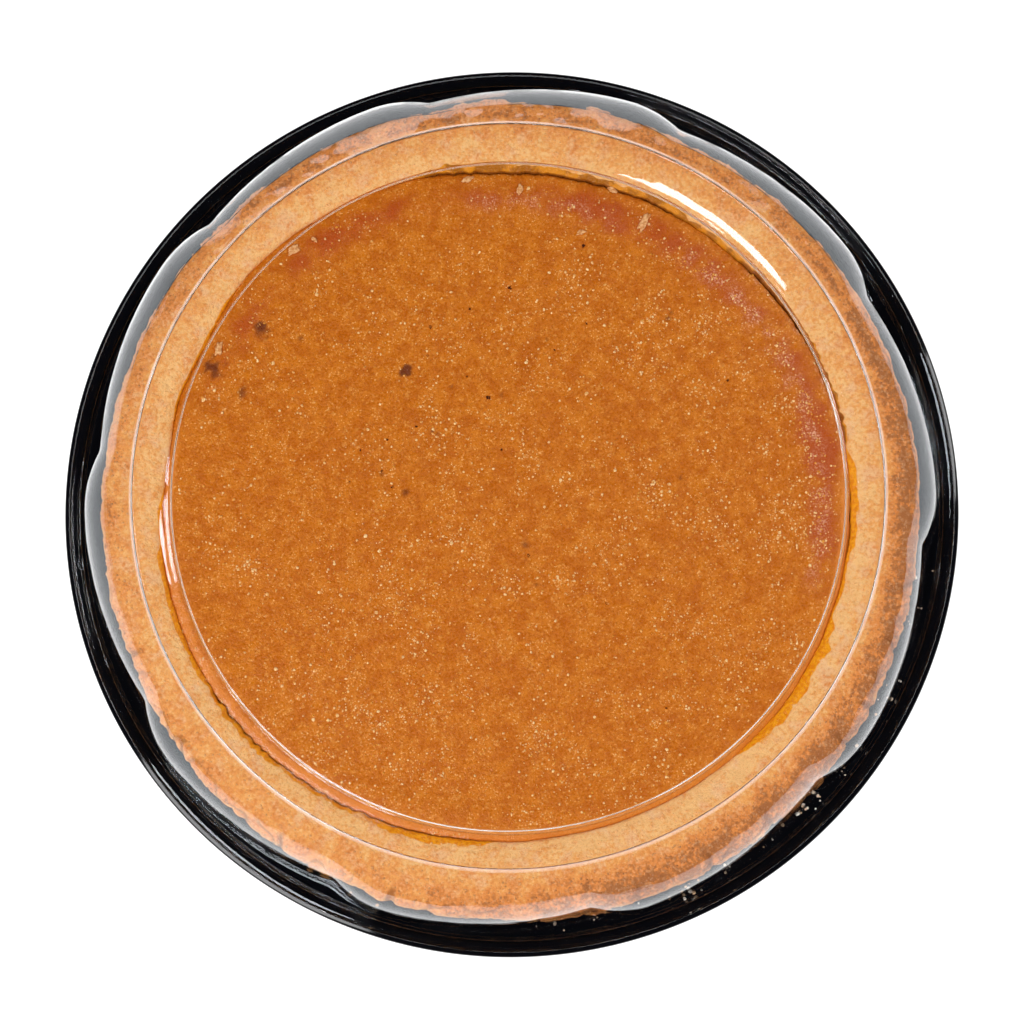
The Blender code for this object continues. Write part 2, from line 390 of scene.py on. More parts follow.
clear_plastic, tree, shader = new_material(
    "clear_plastic", Base_Color=(0.985, 0.99, 0.995, 1.0), Roughness=0.01, IOR=1.55,
    Transmission_Weight=1.0, Specular_Tint=(0.84, 0.92, 1.0, 1.0))
sag = put(tree, "ShaderNodeTexNoise", {
    "Vector": put(tree, "ShaderNodeTexCoord").outputs["Object"], "Scale": 0.04 / MM}).outputs[0]
bump(tree, shader, sag, 0.5)
through = put(tree, "ShaderNodeBsdfTransparent", {"Color": (0.93, 0.94, 0.95, 1.0)})
shadow = put(tree, "ShaderNodeLightPath").outputs["Is Shadow Ray"]
mixed = put(tree, "ShaderNodeMixShader", {0: shadow, 1: shader.outputs[0], 2: through.outputs[0]})
tree.links.new(mixed.outputs[0], tree.nodes["Material Output"].inputs["Surface"])
lid = turned_piece(
    "lid", rounded(sheet_section(LID_CORNERS, LID_SHEET, PLATEAU), 5),
    {"Segments": 600, "Start": FIRST_GAP, "Lobes": LOBES, "Lobe Depth": LOBE_DEPTH * MM,
     "Lobe Peak": LOBE_PEAK, "First Notch": FIRST_NOTCH, "Ridges": RIDGES,
     "First Gap": FIRST_GAP, "Gap Depth": GAP_DEPTH * MM, "Gap Half Width": GAP_HALF_WIDTH,
     "Material": clear_plastic})
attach(lid, "root")
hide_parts("dome_lid")

# ---- Crust ---------------------------------------------------------------------------------
# Shortcrust pastry, pressed round a tin by hand and baked: a sandy, crumbly rim, pale beside
# the custard and brown towards its broken outer edge. Juice has run out of the custard and
# soaked its inner edge in places.
BEAD = BEAD_HEIGHT / MM
CUSTARD_LEVEL, CRUST_CREST, CRUST_EDGE = BEAD + 6.2, BEAD + 10.2, BEAD + 4.0
CUSTARD_RADIUS, CUSTARD_SHIFT, CUSTARD_OVAL = 128.1, -2.5, 1.6
BULGES = ((307, 349, 2.6),)  # arcs where the custard has spread further
HOLLOWS = ((264, 285, 2.2), (285, 300, 1.0))  # and where it stays short, in millimetres
PIE_RADIUS, PIE_SHIFT = 154.2, -0.4
CRUST_COLUMNS = 1200
CRUST_UNDERCUT, CRUST_EDGE_DEPTH = 3.2, 4.0
SHELF_INSET, SHELF_DROP = 3.2, 2.9  # ledge of pastry under the custard's edge
CAVITY_FOOT, CAVITY_FLOOR = 115.0, 9.65
CRUST_FOOT, CRUST_FOOT_HEIGHT = 120.0, 5.15
JUICE = (  # arcs in degrees, with the width of the juice in millimetres
    (345, 392, 3.4), (392, 440, 1.9), (82, 100, 3.6), (100, 110, 1.6),
    (110, 137, 3.8), (184, 204, 3.2), (206, 238, 2.0), (238, 271, 1.9), (283, 308, 0.8),
)
# Arcs where the custard's edge is torn, where the juice has baked brown, where a crack has
# opened beside the custard, and where the crack's painted shade is widest.
TORN = ((404, 440, 0.7), (204, 242, 0.75), (184, 204, 0.3), (346, 392, 0.4), (84, 100, 0.3))
GLAZE = ((343, 440, 1.0), (205, 240, 0.2))
GAPS = ((404, 440, 0.5), (84, 100, 0.15), (206, 238, 0.16), (186, 206, 0.16), (346, 390, 0.3))
WIDEST_CRACK_SHADE = ((398, 440, 1.0),)
CLEARANCE = 0.03  # the crust clears the custard by this much where no crack is
VEILED_SIDE = ((305, 395, 1.0),)  # arc where the rim has browned evenly
DARK_SIDE = ((58, 182, 1.0),)  # arc where it has baked darkest,
PALE_BANK = ((100, 175, 1.0),)  # and where it stays pale by the custard
CRACKED = ((95, 255, 0.6),)  # arc with more fine cracks
EDGE_LUMPS = ((11.0, 14.5, 1.6), (352.0, 359.5, 1.3))  # places where its outer edge sticks out
CREASE_WIDTH, CREASE_WANDER = 0.55, 1.1  # in degrees
CREASES = (102, 111, 120, 126, 134, 141, 151, 162, 197, 214, 233, 248)
FOLDS = ((318, 432, 1.0), (80, 175, 0.5))  # arcs where the rim's fold shows as a groove


def lumps(points, size, seed):
    """Smooth noise between about -1 and 1, in lumps of one size, at points in millimetres."""
    shift = Vector((17.3, 5.1, 9.7)) * seed
    flat = np.reshape(points, (-1, 3))
    found = np.array([noise.noise(Vector(point) / size + shift) for point in flat])
    return found.reshape(np.shape(points)[:-1])


def ease(value, start, end):
    """Smooth step from 0 at start to 1 at end."""
    share = np.clip((value - start) / (end - start), 0.0, 1.0)
    return share * share * (3.0 - 2.0 * share)


def along(degrees, arcs, soft):
    """A value round the pie: each arc (start, end, amount) fades in and out over soft degrees."""
    total = np.zeros_like(degrees)
    for start, end, amount in arcs:
        away = np.abs((degrees - (start + end) / 2 + 180.0) % 360.0 - 180.0)
        total = np.maximum(total, amount * ease((end - start) / 2 - away, -soft / 2, soft / 2))
    return total


def ring_points(degrees, radius):
    """Points on a level circle, for noise that runs round the pie."""
    turn = np.radians(degrees)
    return np.stack([radius * np.sin(turn), radius * np.cos(turn), 0.0 * turn], axis=-1)


def custard_edge(degrees, ragged=1.0):
    """Radius of the custard's slightly oval, uneven edge, with a share of its fine tears."""
    turn = np.radians(degrees)
    points = ring_points(degrees, CUSTARD_RADIUS)
    torn = ragged * (0.15 + along(degrees, TORN, 6.0))
    edge = CUSTARD_RADIUS + CUSTARD_SHIFT * np.sin(turn) - CUSTARD_OVAL * np.cos(2.0 * turn)
    edge += along(degrees, BULGES, 14.0) - along(degrees, HOLLOWS, 14.0)
    return edge + 0.5 * lumps(points, 16.0, 1) + torn * lumps(points, 2.2, 2)


def solid(name, rings, mat, values):
    """A closed piece from rings of points in millimetres, capped at the first and the last.

    Each value is kept as a named attribute of the points."""
    rings = np.array(rings)
    rows, columns = rings.shape[:2]
    corner = np.arange(rows * columns).reshape(rows, columns)
    after = np.roll(corner, -1, axis=1)
    quads = np.stack([corner[:-1], after[:-1], after[1:], corner[1:]], axis=-1).reshape(-1, 4)
    faces = [corner[0][::-1].tolist()] + quads.tolist() + [corner[-1].tolist()]
    piece = new_piece(name, rings.reshape(-1, 3) * MM, faces, mat)
    for title, value in values.items():
        attribute = piece.data.attributes.new(title, "FLOAT", "POINT")
        attribute.data.foreach_set("value", np.ravel(value).astype(np.float32))
    return piece


def shader_group(name, inputs, outputs):
    """A shader node group with float inputs and given outputs; its tree and group sockets."""
    tree = bpy.data.node_groups.new(name, "ShaderNodeTree")
    for title, value in inputs.items():
        socket = tree.interface.new_socket(name=title, in_out="INPUT", socket_type="NodeSocketFloat")
        socket.default_value = value
    for title in outputs:
        tree.interface.new_socket(name=title, in_out="OUTPUT", socket_type="NodeSocketFloat")
    return tree, put(tree, "NodeGroupInput").outputs, put(tree, "NodeGroupOutput").inputs


def grain_group():
    """Sandy grain: a random tone for each grain, its height, and soft uneven patches."""
    tree, given, result = shader_group(
        "sandy_grain", {"Grain Size": 1.0, "Patch Size": 8.0}, ("Tone", "Height", "Patch"))
    where = put(tree, "ShaderNodeTexCoord").outputs["Object"]
    per_grain = calc(tree, "DIVIDE", 1.0 / MM, given["Grain Size"])
    per_patch = calc(tree, "DIVIDE", 1.0 / MM, given["Patch Size"])
    bent = put(tree, "ShaderNodeTexNoise", {
        "Vector": where, "Scale": calc(tree, "MULTIPLY", per_grain, 0.7), "Detail": 1.0})
    shift = put(tree, "ShaderNodeVectorMath", {
        0: bent.outputs["Color"], "Scale": calc(tree, "MULTIPLY", given["Grain Size"], 0.9 * MM)},
        operation="SCALE").outputs[0]
    moved = put(tree, "ShaderNodeVectorMath", {0: where, 1: shift}, operation="ADD").outputs[0]
    cells = put(tree, "ShaderNodeTexVoronoi", {"Vector": moved, "Scale": per_grain})
    patches = put(tree, "ShaderNodeTexNoise", {"Vector": where, "Scale": per_patch, "Detail": 3.0})
    tone = put(tree, "ShaderNodeSeparateColor", {0: cells.outputs["Color"]}).outputs[0]
    tree.links.new(tone, result["Tone"])
    tree.links.new(calc(tree, "SUBTRACT", 1.0, cells.outputs["Distance"]), result["Height"])
    tree.links.new(patches.outputs[0], result["Patch"])
    return tree


def use_group(tree, group, values):
    """A node of a group with its input values; its outputs."""
    node = put(tree, "ShaderNodeGroup", node_tree=group)
    for title, value in values.items():
        node.inputs[title].default_value = value
    return node.outputs


def blend(tree, share, first, second, mode="MIX"):
    """Colour between two, each a socket or an (r, g, b) tuple, by a share from 0 to 1."""
    inputs = {0: share}
    for place, colour in ((6, first), (7, second)):
        inputs[place] = (*colour, 1.0) if isinstance(colour, tuple) else colour
    node = put(tree, "ShaderNodeMix", inputs, data_type="RGBA", blend_type=mode)
    return node.outputs[2]


def layered(tree, colour, layers):
    """A colour with each layer (share, tint) blended over it in turn."""
    for share, tint in layers:
        colour = blend(tree, share, colour, tint)
    return colour


def span(tree, value, low, high, start=0.0, end=1.0):
    """A value from a smooth step: start below low, end above high."""
    return put(tree, "ShaderNodeMapRange", {
        "Value": value, "From Min": low, "From Max": high, "To Min": start, "To Max": end,
    }, interpolation_type="SMOOTHSTEP").outputs[0]


def centred(tree, patch, amount):
    """A patch value, swinging about 0 by an amount."""
    return calc(tree, "MULTIPLY", calc(tree, "SUBTRACT", patch, 0.5), amount)


def painted(tree, title):
    """The value of a named attribute of the points."""
    return put(tree, "ShaderNodeAttribute", attribute_name=title).outputs["Fac"]


sandy_grain = grain_group()

degrees = np.arange(CRUST_COLUMNS) * 360.0 / CRUST_COLUMNS
turn = np.radians(degrees)
outline = ring_points(degrees, PIE_RADIUS)
gap = along(degrees, GAPS, 5.0)
clear = CLEARANCE + gap
brim = custard_edge(degrees, 0.0) + clear
tears = custard_edge(degrees) + clear - brim
tears += (0.8 * lumps(outline, 1.7, 4) + 0.7 * lumps(outline, 4.5, 3)) * (clear - CLEARANCE)
edge = PIE_RADIUS + PIE_SHIFT * np.cos(turn) + 0.8 * np.cos(2.0 * (turn - np.radians(160.0)))
edge += 0.9 * lumps(outline, 15.0, 5)
edge += along(degrees, EDGE_LUMPS, 0.8)
chips = 0.7 * lumps(outline, 5.0, 6) + 0.5 * lumps(outline, 2.0, 7)
shares = np.concatenate([
    np.linspace(0.0, 0.2, 17, endpoint=False),
    np.linspace(0.2, 0.92, 39, endpoint=False),
    1.0 - 0.08 * np.linspace(1.0, 0.0, 11) ** 2,
])
share = shares[:, None] + 0.0 * degrees
radius = brim + share * (edge - brim) + tears * (1.0 - ease(share, 0.0, 0.09))
radius += chips * ease(share, 0.82, 0.97)
edge = edge + chips
from_brim = radius - brim - tears
power = np.where(share < 0.5, 2.0, 2.6)
dome = (1.0 - np.abs(2.0 * share - 1.0) ** power) ** (1.0 / power)
low = CUSTARD_LEVEL - 0.1 + share * (CRUST_EDGE - CUSTARD_LEVEL + 0.1)
level = low + (CRUST_CREST - low) * dome
for quarter in np.radians((25.0, 50.0, 75.0, 90.0)):
    below = edge - CRUST_UNDERCUT * (1.0 - math.cos(quarter))
    radius = np.vstack([radius, below])
    level = np.vstack([level, np.full_like(below, CRUST_EDGE - CRUST_EDGE_DEPTH * math.sin(quarter))])
    share = np.vstack([share, np.ones((1, CRUST_COLUMNS))])
    from_brim = np.vstack([from_brim, np.full((1, CRUST_COLUMNS), 30.0)])

places = np.stack([radius * np.sin(turn), radius * np.cos(turn), level], axis=-1)
coarse, medium, fine = lumps(places, 9.0, 10), lumps(places, 3.4, 11), lumps(places, 1.5, 12)
# Creases and fine cracks: grooves pressed into the relief, also darkened in the colour as painted shade.
shaded_crease = np.zeros_like(radius)
for angle in CREASES:
    wander = CREASE_WANDER * lumps(places[:, :1], 6.0, angle)
    away = ((degrees - angle + wander + 180.0) % 360.0 - 180.0) / CREASE_WIDTH
    shaded_crease = np.maximum(shaded_crease, np.exp(-away ** 2) * ease(share, 0.66, 0.9))
cracks = np.clip(1.0 - 7.0 * np.abs(lumps(places, 11.0, 13)), 0.0, 1.0) * ease(share, 0.7, 0.9)
cracks *= 0.35 + along(degrees, CRACKED, 30.0)
shaded_crease = np.maximum(shaded_crease, 0.8 * cracks)
fold_line = 0.77 + 0.04 * lumps(ring_points(degrees, PIE_RADIUS), 12.0, 14)
fold = np.exp(-((share - fold_line) / 0.045) ** 2) * along(degrees, FOLDS, 14.0)
fold *= np.clip(0.75 + 0.9 * medium, 0.0, 1.2)
lift = 0.40 * coarse + 0.30 * medium + 0.14 * fine - 0.9 * shaded_crease - 0.5 * fold
lift *= ease(from_brim, 0.3, 3.0)
slope_out, slope_up = np.gradient(radius, axis=0), np.gradient(level, axis=0)
length = np.hypot(slope_out, slope_up) + 1e-6
radius = radius - lift * slope_up / length
level = level + lift * slope_out / length

outer = ease(share, 0.55, 0.85)
dark_side = along(degrees, DARK_SIDE, 40.0)
bake = 0.12 + 0.22 * ease(share, 0.14, 0.5) + 0.20 * outer
bake += 0.48 * dark_side * ease(share, 0.42, 0.68) + 0.30 * fold + 0.20 * coarse + 0.16 * medium
bake += 0.16 * along(degrees, VEILED_SIDE, 40.0) * ease(share, 0.4, 0.6)
bake -= 0.14 * along(degrees, PALE_BANK, 30.0) * (1.0 - ease(share, 0.15, 0.45))
bake -= (0.25 + 0.3 * dark_side) * ease(share, 0.955, 0.985)
width = 0.8 + 0.45 * lumps(outline, 7.0, 15) + 0.15 * lumps(outline, 2.5, 17)
width = along(degrees, JUICE, 5.0) * width
juice = (1.0 - ease(from_brim, width - 0.6, width + 0.3)) * (width > 0.05)
glaze = along(degrees, GLAZE, 8.0) + 0.0 * share
# Painted shade: a dark band in the crack beside the custard, reaching further where the crack is widest,
# and over the hidden ledge beneath the custard's edge.
deep = 0.9 + 1.2 * along(degrees, WIDEST_CRACK_SHADE, 6.0) * (0.8 + 0.9 * lumps(outline, 3.0, 16))
crack_shade = (1.0 - ease(from_brim, 0.1, deep)) * np.clip(0.2 + 2.0 * gap, 0.0, 1.0)
weight = (1.0 - juice) * ease(from_brim, 0.2, 1.5) * (share < 0.999)

ledge = brim + tears - SHELF_INSET
inner = [(CAVITY_FOOT + 0.0 * turn, CAVITY_FLOOR + 0.0 * turn)]
inner += [(ledge, CUSTARD_LEVEL - SHELF_DROP + 0.0 * turn)]
inner += [(brim + tears - 0.1, CUSTARD_LEVEL - 0.8 * SHELF_DROP + 0.0 * turn)]
foot = [(CRUST_FOOT + 0.0 * turn, CRUST_FOOT_HEIGHT + 0.0 * turn)]
all_rows = inner + list(zip(radius, level)) + foot
rings = [np.stack([r * np.sin(turn), r * np.cos(turn), z], axis=-1) for r, z in all_rows]


def padded(value, first, last):
    """A value's rows with constant rows before and after, for the rings below the surface."""
    return np.vstack([np.full((len(inner), CRUST_COLUMNS), first), value,
                      np.full((len(foot), CRUST_COLUMNS), last)])


pastry, tree, shader = new_material("pastry", Roughness=0.82, Specular_IOR_Level=0.25)
grain = use_group(tree, sandy_grain, {"Grain Size": 1.0, "Patch Size": 5.5})
specks = use_group(tree, sandy_grain, {"Grain Size": 0.5, "Patch Size": 1.3})
browned = calc(tree, "ADD", painted(tree, "bake"), centred(tree, grain["Patch"], 1.0))
browned = calc(tree, "ADD", browned, centred(tree, specks["Patch"], 1.5))
colour = blend(tree, span(tree, browned, -0.1, 0.35), (0.94, 0.52, 0.20), (0.88, 0.37, 0.100))
colour = layered(tree, colour, (
    (span(tree, grain["Patch"], 0.50, 0.66, 0.0, 0.5), (0.92, 0.58, 0.33)),
    (span(tree, browned, 0.25, 0.75), (0.79, 0.265, 0.064)),
    (span(tree, browned, 0.65, 1.15), (0.42, 0.145, 0.046)),
    (span(tree, grain["Tone"], 0.72, 1.0, 0.0, 0.22), (0.97, 0.58, 0.29)),
    (span(tree, grain["Tone"], 0.0, 0.22, 0.18, 0.0), (0.60, 0.21, 0.055)),
    (span(tree, specks["Tone"], 0.86, 0.99, 0.0, 0.22), (0.97, 0.66, 0.40)),
    (span(tree, specks["Tone"], 0.0, 0.12, 0.20, 0.0), (0.46, 0.15, 0.04)),
    # painted shade in the creases and cracks
    (span(tree, painted(tree, "shaded_crease"), 0.2, 0.9, 0.0, 0.65), (0.24, 0.08, 0.025)),
))
wet = blend(tree, span(tree, specks["Patch"], 0.38, 0.6), (0.80, 0.23, 0.006), (0.93, 0.35, 0.010))
wet = blend(tree, painted(tree, "glaze"), wet, blend(
    tree, span(tree, grain["Patch"], 0.42, 0.58), (0.42, 0.13, 0.006), (0.74, 0.26, 0.012)))
colour = layered(tree, colour, (
    (span(tree, painted(tree, "juice"), 0.15, 0.6), wet),
    # painted shade in the crack beside the custard
    (span(tree, painted(tree, "crack_shade"), 0.25, 0.8, 0.0, 0.88), (0.26, 0.060, 0.006)),
))
tree.links.new(colour, shader.inputs["Base Color"])
tree.links.new(span(tree, painted(tree, "juice"), 0.2, 0.8, 0.82, 0.35), shader.inputs["Roughness"])
relief = calc(tree, "ADD", calc(tree, "MULTIPLY", grain["Height"], 0.30), calc(
    tree, "MULTIPLY", specks["Height"], 0.22))
relief = calc(tree, "ADD", relief, calc(tree, "MULTIPLY", specks["Patch"], 0.7))
bump(tree, shader, relief, 0.6)
crust = solid("crust", rings, pastry, {
    "bake": padded(bake, 0.5, 0.6), "juice": padded(juice, 0.0, 0.0),
    "glaze": padded(glaze, 0.0, 0.0), "crack_shade": padded(crack_shade, 1.0, 0.0),
    "shaded_crease": padded(shaded_crease, 0.0, 0.0), "weight": padded(weight, 0.0, 0.0)})
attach(crust, "root")
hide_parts("pie_crust")

# ---- Custard -------------------------------------------------------------------------------
# Pumpkin custard, baked until set: a smooth orange surface with a fine moist grain. It stands
# up in a low ring near its edge, which has caught brown and red on one side. Soft brown spots
# and small pits are left where air came out.
CUSTARD_GRID = 271
SWELL, SWELL_SETBACK, SWELL_WIDTH = 0.45, 9.0, 5.0
FLAT_RISE, EDGE_DROP, EDGE_ROUND = 0.7, 0.8, 1.0
CUSTARD_FOOT, CUSTARD_FLOOR = 114.6, 10.0
PIT_DEPTH, PIT_SOFTNESS = 0.45, 0.4  # share of a pit's radius, and millimetres
# Arcs where the skin has caught brown, where its edge is paler, where pinkish specks of painted
# sheen lie on the low ring, and where the skin is rubbed pale over the edge and its lip.
SCORCHED = ((352, 462, 1.0), (296, 352, 0.7), (60, 96, 1.3))
PALE_LIP = ((85, 280, 1.0),)
PAINTED_SHEEN = ((36, 84, 1.0), (352, 382, 0.5), (84, 104, 0.7))
SCUFFED_EDGE = ((206, 240, 1.3), (186, 200, 0.8), (46, 80, 0.6))
SCUFFED_LIP = ((240, 264, 0.8),)
STAINS = (  # place, radius and strength of each spot that has caught brown
    (-94, 67, 3.6, 0.9), (-79, 63, 2.0, 0.7), (-112, 52, 4.2, 0.8), (-101, 42, 3.0, 0.6),
    (60, 70, 1.6, 0.7), (-39, 50, 2.7, 1.4), (-29, 27, 1.3, 0.7), (-3, 41, 1.7, 0.6),
    (-39, 4, 1.9, 0.6), (6, -16, 2.0, 0.6), (-48, 11, 1.3, 0.6), (14, 62, 1.2, 0.5),
    (-22, 44, 1.1, 0.6), (64, 9, 1.2, 0.6), (10, -31, 1.1, 0.6), (61, 72, 1.2, 0.6),
    (-27, 26, 1.2, 0.6),
)
# The pits' nearly black insides are painted shade of their hollows.
DARK_PITS = (  # place and radius of each pit that is open and nearly black
    (-30, 67, 0.6), (-31, 56, 0.45), (-8, 40, 0.9), (-35, 29, 0.5), (-19, 29, 0.55),
    (-46, 24, 0.5), (-60, 8, 0.45), (-44, 6, 0.55), (-56, 20, 0.4), (-3, 20, 0.5),
    (7, -20, 0.6), (-16, 48, 0.4), (-48, 12, 0.5), (29, 68, 0.5), (58, -77, 0.5),
    (28, 98, 0.8), (0, 82, 0.7), (-15, 74, 0.5), (17, 58, 0.4), (82, 46, 0.5), (36, -38, 0.45),
)


def custard_height(x, y, edge):
    """Height of the custard's surface, without the pits, at places in millimetres."""
    inside = edge - np.hypot(x, y)
    places = np.stack([x, y, 0.0 * x], axis=-1)
    height = CUSTARD_LEVEL + FLAT_RISE + SWELL * np.exp(-((inside - SWELL_SETBACK) / SWELL_WIDTH) ** 2)
    height += 0.16 * lumps(places, 22.0, 20) + 0.07 * lumps(places, 6.0, 21)
    return height - EDGE_DROP * np.exp(-(np.maximum(inside, 0.0) / EDGE_ROUND) ** 1.2)


def pitted(height, x, y):
    """Heights of the custard with the dark pits pressed into them."""
    for pit_x, pit_y, size in DARK_PITS:
        away = np.hypot(x - pit_x, y - pit_y) / (size + PIT_SOFTNESS)
        height = height - PIT_DEPTH * size * np.exp(-away ** 2)
    return height


steps = np.linspace(-1.0, 1.0, CUSTARD_GRID)
across, ahead = np.meshgrid(steps, steps, indexing="ij")
x = across * np.sqrt(1.0 - ahead ** 2 / 2.0)
y = ahead * np.sqrt(1.0 - across ** 2 / 2.0)
degrees = np.degrees(np.arctan2(x, y)) % 360.0
round_pie = np.arange(0.0, 360.0, 0.25)
edge_round_pie = custard_edge(round_pie)
edge = np.interp(degrees, round_pie, edge_round_pie, period=360.0)
x, y = x * edge, y * edge
height = pitted(custard_height(x, y, edge), x, y)
places = np.stack([x, y, 0.0 * x], axis=-1)
inside = edge - np.hypot(x, y)
coarse, medium, fine = lumps(places, 20.0, 22), lumps(places, 6.0, 23), lumps(places, 2.2, 24)
scorch = along(degrees, SCORCHED, 30.0) + 0.15
scorch *= np.exp(-((inside - 9.5) / 7.0) ** 2) * (0.8 + 0.7 * coarse + 0.7 * medium)
lip = (1.0 - ease(inside, 2.6, 4.6)) * along(degrees, PALE_LIP, 14.0)
# Painted sheen: pinkish specks on the low ring stand in for the soft boxes' reflection. Near the edge
# and its lip they are pale bits where the skin has rubbed off.
sheen_and_scuff = along(degrees, PAINTED_SHEEN, 12.0)
sheen_and_scuff *= np.exp(-((inside - 11.0) / 3.2) ** 2) * np.clip(0.55 + 1.8 * medium, 0.0, 1.0)
sheen_and_scuff = np.maximum(sheen_and_scuff, along(degrees, SCUFFED_EDGE, 4.0)
                   * (1.0 - ease(inside, 0.8, 2.2)) * (fine > -0.1))
sheen_and_scuff = np.maximum(sheen_and_scuff, along(degrees, SCUFFED_LIP, 4.0)
                   * (1.0 - ease(inside, 2.5, 4.5)) * np.clip(0.3 + 2.0 * fine, 0.0, 1.0))
stain = np.zeros_like(x)
for spot_x, spot_y, size, strength in STAINS:
    away = np.hypot(x - spot_x, y - spot_y) / size
    stain = np.maximum(stain, strength * ease(1.25 - away + 0.2 * size * fine + 0.3 * medium, 0.0, 1.2))
weight = 0.45 + 0.55 * ease(x - y, -110.0, 60.0)
weight *= np.clip(0.4 + 2.0 * lumps(places, 13.0, 25) + 1.2 * fine, 0.04, 2.6) * ease(inside, 2.5, 6.0)
weight += 1.6 * sheen_and_scuff * (fine > 0.0)

last = CUSTARD_GRID - 1
count = np.arange(last)
loop = np.concatenate([count, last + 0 * count, last - count, 0 * count])
other = np.concatenate([0 * count, count, last + 0 * count, last - count])
border = loop * CUSTARD_GRID + other
corner = np.arange(CUSTARD_GRID ** 2).reshape(CUSTARD_GRID, CUSTARD_GRID)
faces = np.stack([corner[:-1, :-1], corner[1:, :-1], corner[1:, 1:], corner[:-1, 1:]], axis=-1)
faces = faces.reshape(-1, 4).tolist()
top = np.stack([x, y, height], axis=-1).reshape(-1, 3)
rim = top[border]
lean = np.hypot(rim[:, 0], rim[:, 1])[:, None]
side = np.hstack([rim[:, :2] * (lean - 0.6) / lean, rim[:, 2:] - 1.0])
skirt = np.hstack([rim[:, :2] * (lean - SHELF_INSET - 0.6) / lean, rim[:, 2:] - 1.3])
foot = np.hstack([rim[:, :2] * CUSTARD_FOOT / lean, 0.0 * lean + CUSTARD_FLOOR])
rows = [border] + [len(top) + k * len(border) + np.arange(len(border)) for k in range(3)]
for upper, lower in zip(rows, rows[1:]):
    faces += np.stack([upper, lower, np.roll(lower, -1), np.roll(upper, -1)], axis=-1).tolist()
faces.append(rows[-1][::-1].tolist())

custard, tree, shader = new_material("custard", Specular_IOR_Level=0.3)
grain = use_group(tree, sandy_grain, {"Grain Size": 0.9, "Patch Size": 4.5})
specks = use_group(tree, sandy_grain, {"Grain Size": 0.45, "Patch Size": 0.9})
tone = calc(tree, "ADD", calc(tree, "MULTIPLY", grain["Patch"], 0.55), calc(
    tree, "MULTIPLY", specks["Patch"], 0.45))
colour = blend(tree, span(tree, tone, 0.36, 0.64), (0.50, 0.112, 0.004), (0.65, 0.184, 0.010))
# Painted highlights: sparse bright specks in the custard's colour stand in for glints on its grain.
painted_glint = calc(tree, "MULTIPLY", span(tree, specks["Tone"], 0.89, 0.98), span(
    tree, grain["Patch"], 0.44, 0.60, 0.1, 0.7))
scorched = calc(tree, "ADD", painted(tree, "scorch"), centred(tree, specks["Patch"], 1.2))
# Pinkish-white specks: painted sheen on the low ring, and pale rubbed bits at the edge.
sheen_and_scuff_specks = calc(
    tree, "MULTIPLY", painted(tree, "sheen_and_scuff"), span(tree, specks["Tone"], 0.55, 0.95, 0.05, 0.85))
colour = layered(tree, colour, (
    (painted_glint, (0.95, 0.50, 0.17)),
    (span(tree, grain["Tone"], 0.90, 1.0, 0.0, 0.45), (0.82, 0.35, 0.07)),
    (span(tree, specks["Tone"], 0.0, 0.14, 0.40, 0.0), (0.32, 0.056, 0.004)),
    (span(tree, scorched, 0.1, 1.25, 0.0, 0.8), (0.42, 0.056, 0.008)),
    (span(tree, painted(tree, "lip"), 0.1, 0.9, 0.0, 0.65), (0.76, 0.235, 0.035)),
    (sheen_and_scuff_specks, (0.90, 0.50, 0.31)),
    (span(tree, painted(tree, "stain"), 0.0, 0.85, 0.0, 0.92), (0.135, 0.026, 0.008)),
))
tree.links.new(colour, shader.inputs["Base Color"])
tree.links.new(span(tree, specks["Patch"], 0.35, 0.65, 0.24, 0.44), shader.inputs["Roughness"])
relief = calc(tree, "ADD", calc(tree, "MULTIPLY", specks["Height"], 0.22), calc(
    tree, "MULTIPLY", specks["Patch"], 0.6))
bump(tree, shader, relief, 0.5)
filling = new_piece("custard", np.vstack([top, side, skirt, foot]) * MM, faces, custard)
hidden = np.zeros(3 * len(border))  # values below the surface
for title, value in (("scorch", scorch), ("lip", lip), ("sheen_and_scuff", sheen_and_scuff), ("stain", stain),
                     ("weight", weight)):
    attribute = filling.data.attributes.new(title, "FLOAT", "POINT")
    attribute.data.foreach_set("value", np.concatenate([value.ravel(), hidden]).astype(np.float32))
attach(filling, "root")
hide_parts("pumpkin_filling")
